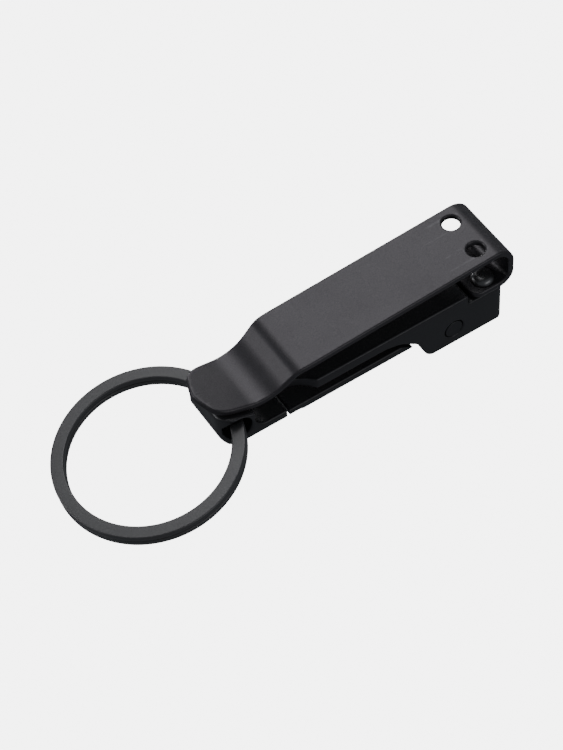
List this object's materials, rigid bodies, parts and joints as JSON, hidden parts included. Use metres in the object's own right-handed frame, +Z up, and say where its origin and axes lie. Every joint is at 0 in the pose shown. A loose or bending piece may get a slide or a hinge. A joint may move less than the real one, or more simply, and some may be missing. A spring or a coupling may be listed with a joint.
{
  "type": "key organiser",
  "caption": "Slim black steel key organiser with a sprung belt clip on top, a pivoting key gate beneath and a split ring hung from an eye at its end.",
  "frame": {"origin": "on the flat underside of the block, on the frame's centre plane, 3.3 mm from the block's end", "axes": "+X along the frame from the ring towards the clip's bend, +Y across the width, +Z up through the belt clip"},
  "size_m": [0.079, 0.0303, 0.0163],
  "materials": {
    "frame_black": "matte black oxide coated steel, fine bead-blasted",
    "clip_black": "matte black oxide coated spring steel, fine bead-blasted",
    "pin_black": "satin black coated steel",
    "screw_black": "satin black coated steel",
    "spring_steel": "bright drawn spring wire",
    "ring_black": "matte black oxide coated spring steel, lightly worn edges"
  },
  "bodies": {
    "frame": {"body_frame": "frame_black", "clip_base": "clip_black", "clip_screw_front": "screw_black", "clip_screw_rear": "screw_black", "gate_pivot_pin": "pin_black", "gate_return_spring": "spring_steel"},
    "clip": {"clip_arm": "clip_black"},
    "gate": {"gate_lever": "frame_black"},
    "ring": {"key_ring": "ring_black"}
  },
  "joints": [
    {"name": "clip_flex", "type": "hinge", "parent": "frame", "child": "clip", "pos_m": [0.00445, 0, 0.0117], "axis": [0, 1, 0], "range_deg": [0, 5], "stiffness_Nm_per_rad": 0.2, "springref_deg": -5.73},
    {"name": "gate_hinge", "type": "hinge", "parent": "frame", "child": "gate", "pos_m": [-0.0063, 0, 0.0035], "axis": [0, 1, 0], "range_deg": [0, 2.6], "stiffness_Nm_per_rad": 0.05, "springref_deg": -5.73, "deforming": ["gate_return_spring"]},
    {"name": "ring_swing", "type": "hinge", "parent": "frame", "child": "ring", "pos_m": [-0.0459, 0, 0.0081], "axis": [0, 1, 0], "range_deg": [-75, 60]}
  ]
}
